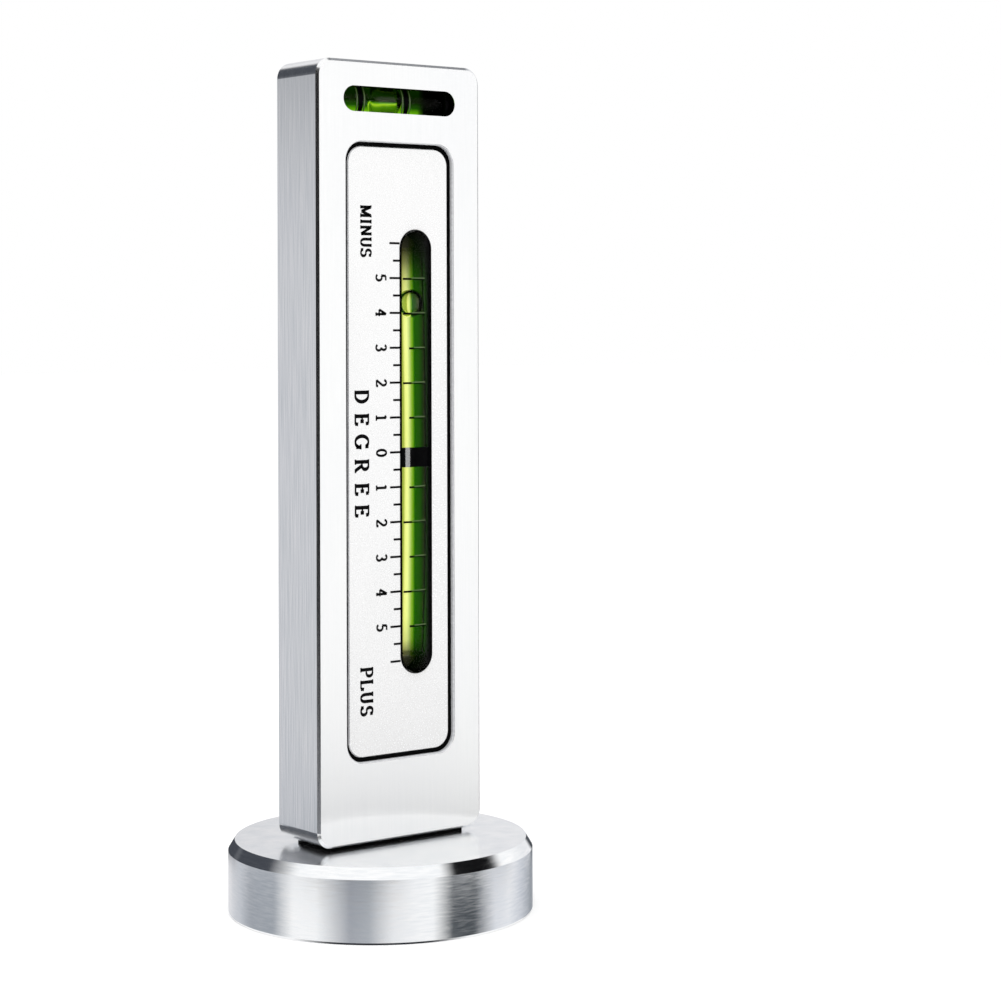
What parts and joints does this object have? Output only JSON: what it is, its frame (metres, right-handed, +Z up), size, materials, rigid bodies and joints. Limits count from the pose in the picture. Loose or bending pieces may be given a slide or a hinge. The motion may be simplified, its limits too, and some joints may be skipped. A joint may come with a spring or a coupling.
{
  "type": "camber caster gauge",
  "caption": "Upright aluminium gauge bar with a long curved spirit level read in degrees and a short cross level, standing on a round magnetic base.",
  "frame": {"origin": "centre of the underside of the round magnetic base", "axes": "+Z up along the bar from the base, -Y out of the face with the windows, +X to the right as that face is read"},
  "size_m": [0.04, 0.04, 0.1109],
  "materials": {
    "milled_aluminium": "satin clear anodised, fine vertical grain",
    "polished_plate": "brushed, clear anodised, engraved scale filled black",
    "black_rubber": "matt",
    "black_plastic": "moulded",
    "white_card": "matt white film",
    "clear_acrylic": "polished",
    "green_spirit": "clear liquid",
    "air": "bubble surface",
    "plated_steel": "bright nickel over cast and turned steel",
    "ferrite": "ground sintered ferrite",
    "zinc_steel": "bright zinc"
  },
  "bodies": {
    "gauge": {"bar": "milled_aluminium", "scale_plate": "polished_plate", "plate_gasket": "black_rubber", "vial_cradle": "black_plastic", "vial_bed": "white_card", "camber_vial": "clear_acrylic", "camber_plug_lower": "clear_acrylic", "camber_plug_upper": "clear_acrylic", "camber_spirit": "green_spirit", "cross_vial": "clear_acrylic", "cross_plug_left": "clear_acrylic", "cross_plug_right": "clear_acrylic", "cross_spirit": "green_spirit", "bore_stopper": "black_plastic", "base_cup": "plated_steel", "ring_magnet": "ferrite", "core": "plated_steel", "foot_gasket": "black_rubber", "centre_screw": "zinc_steel"},
    "camber_bubble_body": {"camber_bubble": "air"},
    "cross_bubble_body": {"cross_bubble": "air"}
  },
  "joints": [
    {"name": "camber_bubble_travel", "type": "hinge", "parent": "gauge", "child": "camber_bubble_body", "pos_m": [0.00305, 0.2575, 0.06015], "axis": [-1, 0, 0], "range_deg": [-9.69, 1.12], "deforming": ["camber_spirit"]},
    {"name": "cross_bubble_travel", "type": "hinge", "parent": "gauge", "child": "cross_bubble_body", "pos_m": [-0.0016, 0.0991, 0.1059], "axis": [0, 0, 1], "range_deg": [-3.7, 2.27], "deforming": ["cross_spirit"]}
  ]
}
